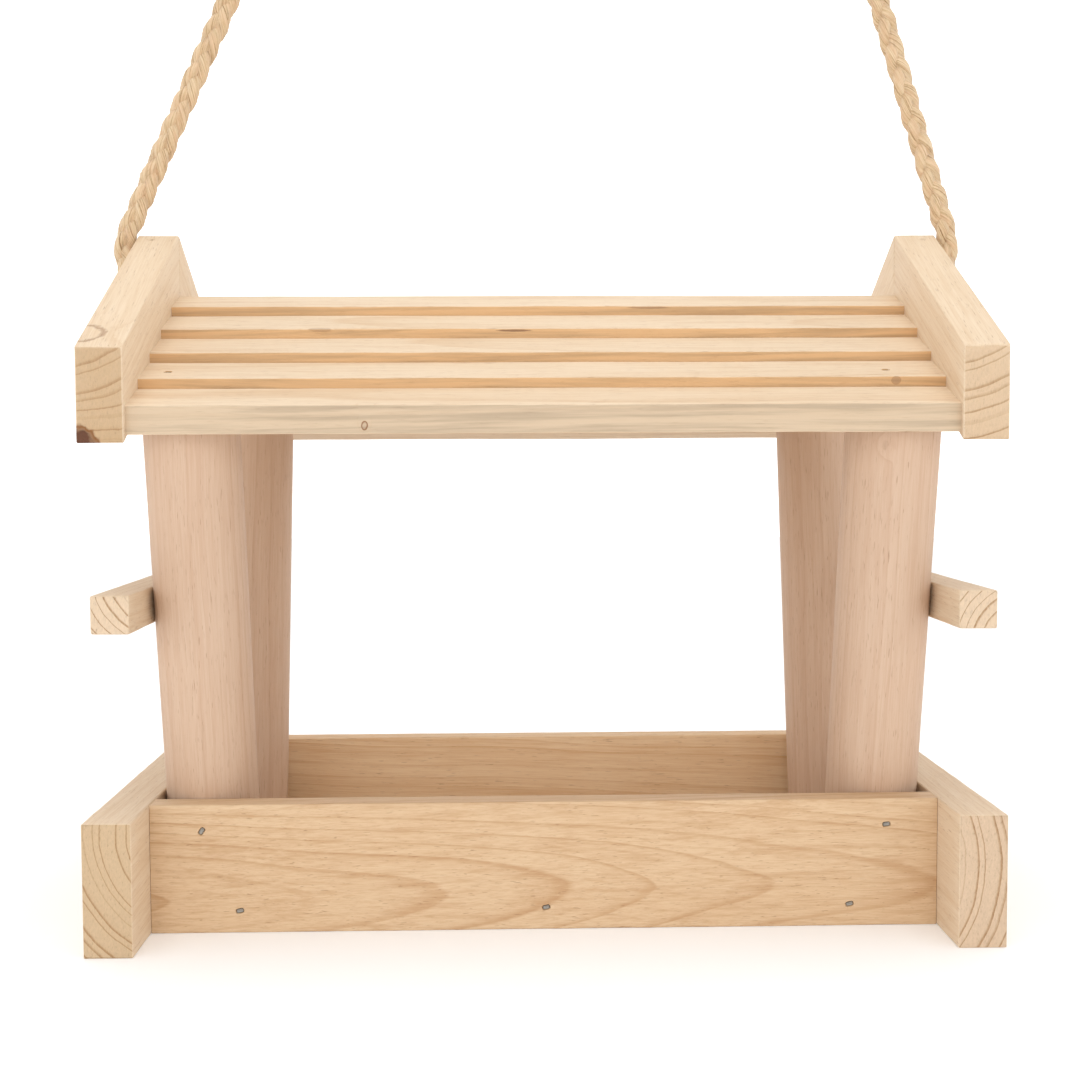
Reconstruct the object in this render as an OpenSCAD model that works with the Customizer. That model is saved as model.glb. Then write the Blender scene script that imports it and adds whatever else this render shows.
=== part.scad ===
// Hanging bird feeder: a wooden tray on four leaning posts, under a stepped slat roof
// that hangs from two ropes. Millimetres, +Z up, origin at the middle of the tray's base.

/* [Tray] */
// Overall width of the tray, along X
tray_w = 300; // [260:1:360]
// Length of the end rails, along Y
tray_d = 178; // [170:1:190]
// Height of the rails and boards
tray_h = 44; // [36:1:50]
// Thickness of the end rails
tray_rail_t = 16; // [12:1:20]
// Thickness of the long boards
tray_board_t = 10; // [8:1:12]
// How far the boards are set back from the rail ends
tray_board_inset = 25; // [20:1:28]
// Thickness of the floor panel
floor_t = 6; // [4:0.5:8]
// Height of the floor panel's underside
floor_z = 4.5; // [2:0.5:8]

/* [Posts and perches] */
// Diameter of the round posts
post_d = 32; // [24:1:34]
// Lean of each post out towards its eave, in degrees
post_lean = 11.5; // [8:0.5:12]
// Side of the square perch bars
perch_t = 12.5; // [10:0.5:14]
// Length of the perch bars
perch_l = 175; // [150:1:178]
// Height of the perch bars' middle
perch_z = 111; // [90:1:130]

/* [Roof] */
// Overall width of the roof, along X
roof_w = 298; // [258:1:358]
// Overall depth of the roof, along Y
roof_d = 176; // [170:1:190]
// Pitch of the roof in degrees
roof_pitch = 28.3; // [26:0.1:30]
// Height of the eaves' lowest point
eave_z = 165.5; // [155:0.5:180]
// Thickness of the end rails
roof_rail_t = 15; // [12:1:16]
// Height of the rails, measured straight up
roof_rail_h = 31; // [28:1:34]

/* [Slats] */
// Slats on each slope
slats = 5; // [5:1:5]
// How far the eave slat is set back from the rail ends
slat_inset = 2; // [1:0.5:4]
// Width that each slat shows, measured level
slat_run = 17.7; // [16:0.1:18]
// Height of each slat's front face
slat_h = 9.8; // [9:0.1:12]
// Step up from one slat to the next
slat_step = 3.2; // [2:0.1:4]
// Height of the eave slat's lower edge above the rails' lowest point
slat_lift = 1.5; // [1:0.5:4]

/* [Ropes] */
// Rope diameter
rope_d = 8; // [7.5:0.1:8]
// Angle of the rope hole above level, in degrees
rope_hole_angle = 45; // [45:1:45]
// Diameter of the rope hole
rope_hole_d = 9; // [9:0.1:9.2]

/* [Hidden] */
$fn = 48;

// joints between the main pieces
board_l = tray_w - 2 * tray_rail_t;
board_y = tray_d / 2 - tray_board_inset - tray_board_t;
floor_top = floor_z + floor_t;
post_r = post_d / 2;
slope = tan(roof_pitch);
roof_half_d = roof_d / 2;
apex_z = eave_z + roof_rail_h + roof_half_d * slope;
slat_l = roof_w - 2 * roof_rail_t;
slat_y = -roof_half_d + slat_inset;
slat_rise = slat_run * slope;
slat_z = eave_z + slat_lift + slat_inset * slope;
post_x = board_l / 2 - post_r - 0.5;
// the posts' axes just clear the boards' top inner edges
post_y = board_y - post_r / cos(post_lean) - 0.05;
perch_x = post_x + post_r;

// brads: a round shank under a small oblong head, in a shallow pocket
brad_d = 1.4;
brad_head = [2.4, 1.3, 0.6];
brad_pocket = [2.9, 1.8, 0.5];
tray_brad_l = 30;
floor_brad_l = 28;
post_brad_l = 24;
perch_brad_l = 24;
rail_brad_l = 28;
slat_brad_l = 24;
ridge_brad_l = 26;
floor_brad_x = [-104, 0, 104];
post_brad_z = tray_h - 9;
tray_brad_z = [14, 32];
ridge_brad_x = roof_w / 2 - 5.5;
// it leans from the front slope to the rope's end, which it pins
ridge_brad_y = 4;
ridge_brad_lean = 11;
// the slat that is nailed to the posts, and where, on the front
slat_on_post = 2;
slat_brad_x = [-post_x - 8, post_x - 2];

// rope holes in the rails' outer faces, under the ridge
rope_mouth = [roof_w / 2, 0, 224.5];
rope_hole_depth = 8.5;
rope_sides = 10;
// the left rope's centreline, from the bottom of its hole to its knot
rope_left_route = [
    [-143.3, 0, 218.8], [-146, 0, 221.5], [-149, 0, 224.5], [-151.7, 0, 228],
    [-153.4, 0, 232.1], [-154, 0, 236.5], [-154, 0, 239], [-153.8, 0, 241.4],
    [-153.3, 0, 243.7], [-152.4, 0, 246], [-148.3, 0, 255], [-143.8, 0, 265],
    [-139.2, 0, 275], [-134.7, 0, 285], [-130.1, 0, 295], [-125.6, 0, 305],
    [-121, 0, 315], [-116.5, 0, 325], [-111.9, 0, 335], [-107.3, 0, 345]
];
// the right rope's centreline
rope_right_route = [
    [143.3, 0, 218.8], [146, 0, 221.5], [149, 0, 224.5], [151.7, 0, 228],
    [153.4, 0, 232.1], [154, 0, 236.5], [154, 0, 240.5], [153.8, 0, 242.9],
    [153.3, 0, 245.5], [150.4, 0, 255], [147.3, 0, 265], [144.3, 0, 275],
    [141.2, 0, 285], [138.2, 0, 295], [135.1, 0, 305], [132, 0, 315],
    [129, 0, 325], [125.9, 0, 335], [122.8, 0, 345]
];
// the hanging eye's centreline above its knot, with Z along the rope
eye_route = [
    [4, 0, 16], [5.5, 0, 24], [9, 0, 33], [13.5, 0, 42], [16.5, 0, 53], [15.5, 0, 64],
    [9.5, 0, 73], [0, 0, 76.5], [-9.5, 0, 73], [-15.5, 0, 64], [-16.5, 0, 53],
    [-13.5, 0, 42], [-9, 0, 33], [-5.5, 0, 24], [-4, 0, 16]
];
knot_l = 20;
knot_end_r = 7.5;
knot_r = 10.5;

// --- helpers ---

// unit vector along v
function unit(v) = v / norm(v);

// direction of a route at point i
function heading(route, i) =
    unit(route[min(i + 1, len(route) - 1)] - route[max(i - 1, 0)]);

// a ring of points round point i of a route that lies in the XZ plane
function ring(route, i, r, sides) =
    let (along = heading(route, i), side = cross(along, [0, 1, 0]))
    [for (k = [0:sides - 1])
        route[i] + r * (cos(360 * k / sides) * side + sin(360 * k / sides) * [0, 1, 0])];

// a round tube swept along a route
module tube_along(route, r, sides) {
    rings = len(route);
    points = [for (i = [0:rings - 1]) each ring(route, i, r, sides)];
    walls = [for (i = [0:rings - 2], k = [0:sides - 1])
        let (a = i * sides + k, b = i * sides + (k + 1) % sides)
        [a, b, b + sides, a + sides]];
    first_cap = [for (k = [sides - 1:-1:0]) k];
    last_cap = [for (k = [0:sides - 1]) (rings - 1) * sides + k];
    polyhedron(points, concat([first_cap], walls, [last_cap]));
}

// an outline drawn in Y and Z, made into a bar that runs along X from x0 for length l
module bar_along_x(outline, x0, l) {
    translate([x0, 0, 0])
        rotate([90, 0, 90])
            linear_extrude(l)
                polygon(outline);
}

// a brad at the origin, driven down: its head is just below the surface at Z = 0
module brad(l) {
    translate([0, 0, -l])
        cylinder(d = brad_d, h = l - brad_pocket[2]);
    translate([-brad_head[0] / 2, -brad_head[1] / 2, -brad_pocket[2] - brad_head[2]])
        cube(brad_head);
}

// the wood that a brad and its pocket take away
module brad_hole(l) {
    brad(l);
    translate([-brad_pocket[0] / 2, -brad_pocket[1] / 2, -brad_pocket[2]])
        cube([brad_pocket[0], brad_pocket[1], brad_pocket[2] + 1]);
}

// what is drawn for the front, turned round if side is "rear"
module facing(side) {
    rotate([0, 0, side == "rear" ? 180 : 0])
        children();
}

// --- where the brads go ---

module at_tray_rail_brads() {
    for (end = [0, 180], y = [-1, 1], z = tray_brad_z)
        rotate([0, 0, end])
            translate([tray_w / 2, y * (board_y + tray_board_t / 2), z])
                rotate([0, 90, 0])
                    children();
}

module at_tray_floor_brads() {
    for (end = [0, 180], x = floor_brad_x)
        rotate([0, 0, end])
            translate([x, -board_y - tray_board_t, floor_z + floor_t / 2])
                rotate([90, -12, 0])
                    children();
}

module at_tray_post_brads() {
    for (end = [0, 180], x = [-1, 1])
        rotate([0, 0, end])
            translate([x * (post_x - 1), -board_y - tray_board_t, post_brad_z])
                rotate([90, x < 0 ? -55 : -6, 0])
                    children();
}

module at_perch_brads() {
    for (end = [0, 180], y = [-1, 1])
        rotate([0, 0, end])
            translate([perch_x + perch_t, y * post_axis_y(perch_z), perch_z])
                rotate([0, 90, 0])
                    children();
}

module at_roof_rail_brads() {
    for (end = [0, 180], x = [-1, 1], i = [1:slats])
        rotate([0, 0, end])
            translate([x * roof_w / 2, slat_front_y(i) + slat_run * 0.45, slat_mid_z(i)])
                rotate([0, 90 * x, 0])
                    children();
}

module at_roof_slat_brads() {
    for (end = [0, 180], x = slat_brad_x)
        rotate([0, 0, end])
            translate([x, slat_front_y(slat_on_post) + slat_run * 0.4,
                       slat_top_z(slat_on_post) + slat_run * 0.4 * tread_slope])
                rotate([tread_pitch, 0, 0])
                    children();
}

module at_ridge_brads() {
    for (x = [-1, 1])
        translate([x * ridge_brad_x, -ridge_brad_y, apex_z - ridge_brad_y * slope])
            rotate([ridge_brad_lean, 0, 0])
                children();
}

// --- tray ---

module tray_rail(end) {
    color("wheat")
        difference() {
            rotate([0, 0, end])
                translate([tray_w / 2 - tray_rail_t, -tray_d / 2, 0])
                    cube([tray_rail_t, tray_d, tray_h]);
            at_tray_rail_brads()
                brad_hole(tray_brad_l);
        }
}

module tray_board(side) {
    color("burlywood")
        difference() {
            facing(side)
                translate([-board_l / 2, -board_y - tray_board_t, 0])
                    cube([board_l, tray_board_t, tray_h]);
            at_tray_rail_brads()
                brad_hole(tray_brad_l);
            at_tray_floor_brads()
                brad_hole(floor_brad_l);
            at_tray_post_brads()
                brad_hole(post_brad_l);
        }
}

module tray_floor() {
    color("tan")
        difference() {
            translate([-board_l / 2, -board_y, floor_z])
                cube([board_l, 2 * board_y, floor_t]);
            at_tray_floor_brads()
                brad_hole(floor_brad_l);
        }
}

// --- posts and perches ---

// how far the posts' axes are from the middle at height z
function post_axis_y(z) = post_y + (z - tray_h) * tan(post_lean);

// the slats' lowest line, which the posts' tops are cut to, at distance y from the ridge
function roof_under_z(y) =
    slat_z + slat_run * tread_slope + (roof_half_d - slat_inset - slat_run - y) * slope;

module post(side, x) {
    // the cut along the roof's underside, from the ridge out past the eave
    top_y = roof_half_d + 10;
    color("rosybrown")
        difference() {
            facing(side)
                translate([x * post_x, -post_axis_y(0), 0])
                    rotate([post_lean, 0, 0])
                        translate([0, 0, -post_r])
                            cylinder(d = post_d, h = apex_z);
            translate([-tray_w, -tray_d, floor_top - tray_h])
                cube([2 * tray_w, 2 * tray_d, tray_h]);
            facing(side)
                bar_along_x([[0, roof_under_z(0)], [-top_y, roof_under_z(top_y)],
                             [-top_y, 2 * apex_z], [0, 2 * apex_z]],
                            -tray_w, 2 * tray_w);
            at_tray_post_brads()
                brad_hole(post_brad_l);
            at_perch_brads()
                brad_hole(perch_brad_l);
            at_roof_slat_brads()
                brad_hole(slat_brad_l);
        }
}

module perch(end) {
    color("navajowhite")
        difference() {
            rotate([0, 0, end])
                translate([perch_x, -perch_l / 2, perch_z - perch_t / 2])
                    cube([perch_t, perch_l, perch_t]);
            at_perch_brads()
                brad_hole(perch_brad_l);
        }
}

// --- roof ---

// how much a slat's top rises from its front to its back, per millimetre
tread_slope = (slat_rise - slat_step) / slat_run;
tread_pitch = atan(tread_slope);

// slat i's front face, top front edge and the middle of its body
function slat_front_y(i) = slat_y + (i - 1) * slat_run;
function slat_back_y(i) = i == slats ? 0 : slat_front_y(i + 1);
function slat_top_z(i) = slat_z + slat_h + (i - 1) * slat_rise;
function slat_mid_z(i) = slat_top_z(i) - slat_h / 2 + slat_run * 0.45 * tread_slope;

// the front rail's outline; its upper end meets the rear rail at the ridge
rail_outline = [
    [-roof_half_d, eave_z], [0, apex_z - roof_rail_h],
    [0, apex_z], [-roof_half_d, eave_z + roof_rail_h]
];

module rope_hole() {
    for (end = [0, 180])
        rotate([0, 0, end])
            translate(rope_mouth)
                rotate([0, 90 - rope_hole_angle, 0])
                    translate([0, 0, -rope_hole_depth])
                        cylinder(d = rope_hole_d, h = 3 * rope_hole_depth);
}

module roof_rail(side, x) {
    x0 = x < 0 ? -roof_w / 2 : roof_w / 2 - roof_rail_t;
    color("wheat")
        difference() {
            facing(side)
                bar_along_x(rail_outline, side == "rear" ? -x0 - roof_rail_t : x0, roof_rail_t);
            rope_hole();
            at_roof_rail_brads()
                brad_hole(rail_brad_l);
            at_ridge_brads()
                brad_hole(ridge_brad_l);
        }
}

module roof_slat(side, i) {
    front = slat_front_y(i);
    back = slat_back_y(i);
    top = slat_top_z(i);
    rise = (back - front) * tread_slope;
    color(i % 2 == 1 ? "moccasin" : "bisque")
        difference() {
            facing(side)
                bar_along_x([[front, top - slat_h], [back, top - slat_h + rise],
                             [back, top + rise], [front, top]],
                            -slat_l / 2, slat_l);
            at_roof_rail_brads()
                brad_hole(rail_brad_l);
            at_roof_slat_brads()
                brad_hole(slat_brad_l);
        }
}

// --- brads ---

module tray_rail_brads() {
    color("silver")
        at_tray_rail_brads()
            brad(tray_brad_l);
}

module tray_floor_brads() {
    color("silver")
        at_tray_floor_brads()
            brad(floor_brad_l);
}

module tray_post_brads() {
    color("silver")
        at_tray_post_brads()
            brad(post_brad_l);
}

module perch_brads() {
    color("silver")
        at_perch_brads()
            brad(perch_brad_l);
}

module roof_rail_brads() {
    color("silver")
        at_roof_rail_brads()
            brad(rail_brad_l);
}

module roof_slat_brads() {
    color("silver")
        at_roof_slat_brads()
            brad(slat_brad_l);
}

module ridge_brads() {
    color("silver")
        at_ridge_brads()
            brad(ridge_brad_l);
}

// --- ropes ---

module rope(route) {
    color("peru")
        tube_along(route, rope_d / 2, rope_sides);
}

// the knot at a rope's end, and the eye above it
module rope_eye(route) {
    last = len(route) - 1;
    along = heading(route, last);
    color("peru")
        translate(route[last])
            rotate([0, atan2(along[0], along[2]), 0]) {
                rotate_extrude()
                    polygon([[0, 0], [knot_end_r, 0], [knot_r, knot_l * 0.3],
                             [knot_r, knot_l * 0.7], [knot_end_r + 1, knot_l], [0, knot_l]]);
                tube_along(eye_route, rope_d / 2, rope_sides);
            }
}

tray_rail(180);  // tray_rail_left
tray_rail(0);  // tray_rail_right
tray_board("front");  // tray_board_front
tray_board("rear");  // tray_board_rear
tray_floor();
tray_rail_brads();
tray_floor_brads();
tray_post_brads();
post("front", -1);  // post_front_left
post("front", 1);  // post_front_right
post("rear", 1);  // post_rear_left
post("rear", -1);  // post_rear_right
perch(180);  // perch_left
perch(0);  // perch_right
perch_brads();
roof_rail("front", -1);  // roof_rail_front_left
roof_rail("front", 1);  // roof_rail_front_right
roof_rail("rear", -1);  // roof_rail_rear_left
roof_rail("rear", 1);  // roof_rail_rear_right
roof_slat("front", 1);  // roof_slat_front_1
roof_slat("front", 2);  // roof_slat_front_2
roof_slat("front", 3);  // roof_slat_front_3
roof_slat("front", 4);  // roof_slat_front_4
roof_slat("front", 5);  // roof_slat_front_5
roof_slat("rear", 1);  // roof_slat_rear_1
roof_slat("rear", 2);  // roof_slat_rear_2
roof_slat("rear", 3);  // roof_slat_rear_3
roof_slat("rear", 4);  // roof_slat_rear_4
roof_slat("rear", 5);  // roof_slat_rear_5
roof_rail_brads();
roof_slat_brads();
ridge_brads();
rope(rope_left_route);  // rope_left
rope(rope_right_route);  // rope_right
rope_eye(rope_left_route);  // rope_eye_left
rope_eye(rope_right_route);  // rope_eye_right
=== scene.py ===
import math
import random

import bmesh
import bpy
from mathutils import Matrix, Vector, noise


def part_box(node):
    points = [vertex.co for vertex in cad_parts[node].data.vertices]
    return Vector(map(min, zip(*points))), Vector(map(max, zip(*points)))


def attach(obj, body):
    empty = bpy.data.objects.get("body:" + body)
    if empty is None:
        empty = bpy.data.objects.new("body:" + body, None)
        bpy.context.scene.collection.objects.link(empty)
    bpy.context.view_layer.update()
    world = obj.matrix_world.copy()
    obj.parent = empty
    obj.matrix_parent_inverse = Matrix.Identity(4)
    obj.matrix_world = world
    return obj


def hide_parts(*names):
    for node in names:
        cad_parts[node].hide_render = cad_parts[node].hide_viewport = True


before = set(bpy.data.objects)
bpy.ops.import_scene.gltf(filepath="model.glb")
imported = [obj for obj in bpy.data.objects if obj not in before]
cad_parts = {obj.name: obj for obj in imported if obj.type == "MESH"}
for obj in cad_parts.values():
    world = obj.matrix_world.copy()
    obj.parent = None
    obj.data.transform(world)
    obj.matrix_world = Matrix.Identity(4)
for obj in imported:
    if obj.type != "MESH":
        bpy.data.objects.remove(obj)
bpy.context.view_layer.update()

# --- sizes shared by several pieces, in metres and radians ---

MM = 0.001
ROPE_D = 8 * MM
POST_LEAN = math.radians(11.5)
ROOF_PITCH = math.radians(28.3)
# edges that turn by more than this are shaded sharp
SHARP = math.radians(38)


# --- camera ---

def make_camera():
    """A 50 mm lens half a metre in front of the tray, a little left of its middle."""
    data = bpy.data.cameras.new("camera")
    data.lens = 50
    data.sensor_width = 36
    data.clip_start, data.clip_end = 0.01, 50
    camera = bpy.data.objects.new("camera", data)
    bpy.context.scene.collection.objects.link(camera)
    turned_right, tipped_down, rolled = 1.4, 3.25, -0.25
    turn = Matrix.Rotation(math.radians(-turned_right), 4, "Z")
    tip = Matrix.Rotation(math.radians(90 - tipped_down), 4, "X")
    roll = Matrix.Rotation(math.radians(rolled), 4, "Z")
    camera.matrix_world = Matrix.Translation((-0.0139, -0.5673, 0.1616)) @ turn @ tip @ roll
    bpy.context.scene.camera = camera


make_camera()


# --- mesh helpers ---


def mesh_object(name, verts, faces, material=None):
    """A new object from points and faces, smooth except at edges over SHARP."""
    mesh = bpy.data.meshes.new(name)
    mesh.from_pydata([tuple(v) for v in verts], [], faces)
    obj = bpy.data.objects.new(name, mesh)
    bpy.context.scene.collection.objects.link(obj)
    if material:
        mesh.materials.append(material)
    tidy_mesh(mesh)
    return obj


def tidy_mesh(mesh):
    """Faces outwards, smooth shading, sharp edges marked."""
    bm = bmesh.new()
    bm.from_mesh(mesh)
    bmesh.ops.remove_doubles(bm, verts=bm.verts, dist=1e-6)
    bmesh.ops.recalc_face_normals(bm, faces=bm.faces)
    for face in bm.faces:
        face.smooth = True
    for edge in bm.edges:
        edge.smooth = len(edge.link_faces) == 2 and edge.calc_face_angle(0) < SHARP
    bm.to_mesh(mesh)
    bm.free()


def eased_outline(corners, radius, spacing, steps=3):
    """Points round a convex outline, anticlockwise, with its corners rounded.

    Each is (point, outward normal, how much of a corner it is from 0 to 1)."""
    out = []
    count = len(corners)
    for i, corner in enumerate(corners):
        corner = Vector(corner)
        before = (corner - Vector(corners[i - 1])).normalized()
        after = (Vector(corners[(i + 1) % count]) - corner).normalized()
        turn = before.angle(after)
        reach = radius * math.tan(turn / 2)
        first, second = Vector((before.y, -before.x)), Vector((after.y, -after.x))
        centre = corner - before * reach - first * radius
        for k in range(steps + 1):
            share = k / steps
            normal = (first * (1 - share) + second * share).normalized()
            out.append((centre + normal * radius, normal, math.sin(math.pi * share) * 0.7 + 0.3))
        # points along the flat to the next corner, so that it can be a little uneven
        nxt = Vector(corners[(i + 1) % count])
        turn_next = after.angle((Vector(corners[(i + 2) % count]) - nxt).normalized())
        start = corner + after * reach
        flat = (nxt - start).length - radius * math.tan(turn_next / 2)
        edge = min(0.6 * MM, flat / 4)
        middle = max(1, round((flat - 2 * edge) / spacing))
        stops = [edge + (flat - 2 * edge) * k / middle for k in range(middle + 1)]
        out += [(start + after * s, second, 0.0) for s in stops]
    return out


def eased_prism(name, corners, low, high, place, radius=0.6 * MM, end_radius=None,
                spacing=7 * MM, uneven=0.08 * MM, wear=0.3 * MM, waves=45):
    """A bar of a convex outline from low to high along its length, every edge rounded.

    place(a, b, s) turns an outline point and a distance along it into the row frame."""
    seed = Vector([random.Random(name).uniform(0, 50) for _ in range(3)])
    outline = eased_outline(corners, radius, spacing)
    r = end_radius or radius
    # from each end: how far in, and how much smaller the outline is there
    rounding = [(r * (1 - math.sin(a)), r * (1 - math.cos(a))) for a in map(math.radians, (90, 60, 30, 0))]
    inner = max(1, round((high - low - 2 * r) / spacing))
    step = (high - low - 2 * r) / inner
    stations = [(low + s, inset) for s, inset in rounding]
    stations += [(low + r + step * k, 0) for k in range(1, inner)]
    stations += [(high - s, inset) for s, inset in reversed(rounding)]
    verts = []
    for s, inset in stations:
        for point, normal, corner in outline:
            here = Vector(place(point.x, point.y, s))
            dent = uneven * (0.5 + 0.5 * noise.noise(here * waves + seed))
            worn = corner * wear * max(0.0, 0.25 + noise.noise(here * 90 + seed * 2))
            moved = point - normal * (inset + dent + worn)
            verts.append(place(moved.x, moved.y, s))
    n = len(outline)
    faces = [[i * n + k, i * n + (k + 1) % n, (i + 1) * n + (k + 1) % n, (i + 1) * n + k]
             for i in range(len(stations) - 1) for k in range(n)]
    faces.append(list(reversed(range(n))))
    faces.append([(len(stations) - 1) * n + k for k in range(n)])
    return mesh_object(name, verts, faces)


def apply_modifiers(obj):
    """Bakes the object's modifiers into its mesh."""
    depsgraph = bpy.context.evaluated_depsgraph_get()
    mesh = bpy.data.meshes.new_from_object(obj.evaluated_get(depsgraph))
    obj.modifiers.clear()
    obj.data = mesh


def cut(obj, cutters):
    """Takes each cutter's shape out of obj, and deletes the cutters."""
    # every cut adds points, so a piece that has lost some was emptied by the solver
    full = len(obj.data.vertices)
    for cutter in cutters:
        boolean = obj.modifiers.new("cut", "BOOLEAN")
        boolean.operation = "DIFFERENCE"
        boolean.solver = "MANIFOLD"
        boolean.object = cutter
        apply_modifiers(obj)
        mesh = cutter.data
        bpy.data.objects.remove(cutter)
        bpy.data.meshes.remove(mesh)
    if len(obj.data.vertices) < full:
        raise RuntimeError("a cut took away too much of " + obj.name)
    tidy_mesh(obj.data)


def islands(obj):
    """The points of each separate solid in a CAD node, in the row frame."""
    bm = bmesh.new()
    bm.from_mesh(obj.data)
    bm.transform(obj.matrix_world)
    bmesh.ops.remove_doubles(bm, verts=bm.verts, dist=1e-6)
    bm.verts.index_update()
    # taken in the mesh's own order, so that each run gives the same result
    seen, found = set(), []
    for first in bm.verts:
        if first.index in seen:
            continue
        seen.add(first.index)
        stack, points = [first], []
        while stack:
            vert = stack.pop()
            points.append(vert.co.copy())
            for edge in vert.link_edges:
                other = edge.other_vert(vert)
                if other.index not in seen:
                    seen.add(other.index)
                    stack.append(other)
        found.append(points)
    bm.free()
    return found


# --- wood ---

def new_group(name, inputs, outputs):
    """An empty node group with these sockets: (socket type, name, default)."""
    group = bpy.data.node_groups.new(name, "ShaderNodeTree")
    for kind, label, default in inputs:
        socket = group.interface.new_socket(label, in_out="INPUT", socket_type=kind)
        if default is not None:
            socket.default_value = default
    for kind, label in outputs:
        group.interface.new_socket(label, in_out="OUTPUT", socket_type=kind)
    return group


class Nodes:
    """Short ways to add nodes to a tree and join them."""

    def __init__(self, tree):
        self.tree = tree

    def add(self, kind, inputs=None, **settings):
        """A node; inputs are values or sockets to join, by socket name or number."""
        node = self.tree.nodes.new(kind)
        for key, value in settings.items():
            setattr(node, key, value)
        for key, value in (inputs or {}).items():
            socket = node.inputs[key]
            if isinstance(value, bpy.types.NodeSocket):
                self.tree.links.new(value, socket)
            else:
                socket.default_value = value
        return node

    def math(self, operation, a, b=0.0, c=0.0):
        """Arithmetic on numbers."""
        return self.add("ShaderNodeMath", {0: a, 1: b, 2: c}, operation=operation).outputs[0]

    def vector(self, operation, a, b=(0, 0, 0), output=0):
        """Arithmetic on vectors; output 1 is a number, such as a length."""
        return self.add("ShaderNodeVectorMath", {0: a, 1: b}, operation=operation).outputs[output]

    def noise(self, vector, scale=1.0, detail=2.0, rough=0.5, output=0):
        """Noise in space, as a number, or as a colour with output 1."""
        return self.add("ShaderNodeTexNoise", {"Vector": vector, "Scale": scale, "Detail": detail,
                                               "Roughness": rough}).outputs[output]

    def noise_1d(self, w, scale=1.0, detail=1.0):
        """Noise along a line."""
        return self.add("ShaderNodeTexNoise", {"W": w, "Scale": scale, "Detail": detail},
                        noise_dimensions="1D").outputs[0]

    def ramp(self, factor, stops):
        """A colour from stops, which are (place, grey or colour)."""
        node = self.add("ShaderNodeValToRGB", {0: factor})
        marks = node.color_ramp.elements
        while len(marks) < len(stops):
            marks.new(0.5)
        for mark, (place, value) in zip(marks, stops):
            mark.position = place
            mark.color = (value, value, value, 1) if isinstance(value, (int, float)) else (*value, 1)
        return node.outputs[0]

    def range(self, value, low, high, to_low=0.0, to_high=1.0):
        """A smooth step from to_low, where value is low, to to_high, where it is high."""
        return self.add("ShaderNodeMapRange", {0: value, 1: low, 2: high, 3: to_low, 4: to_high},
                        interpolation_type="SMOOTHSTEP").outputs[0]

    def mix(self, factor, a, b):
        """Colour a where factor is 0 and b where it is 1."""
        node = self.add("ShaderNodeMix", data_type="RGBA")
        for key, value in ((0, factor), (6, a), (7, b)):
            if isinstance(value, bpy.types.NodeSocket):
                self.tree.links.new(value, node.inputs[key])
            else:
                node.inputs[key].default_value = value
        return node.outputs[2]


def srgb(red, green, blue):
    """A colour given as 0 to 255 display values, as linear values for a shader."""
    def linear(c):
        c /= 255
        return c / 12.92 if c <= 0.04045 else ((c + 0.055) / 1.055) ** 2.4
    return (linear(red), linear(green), linear(blue))


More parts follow.
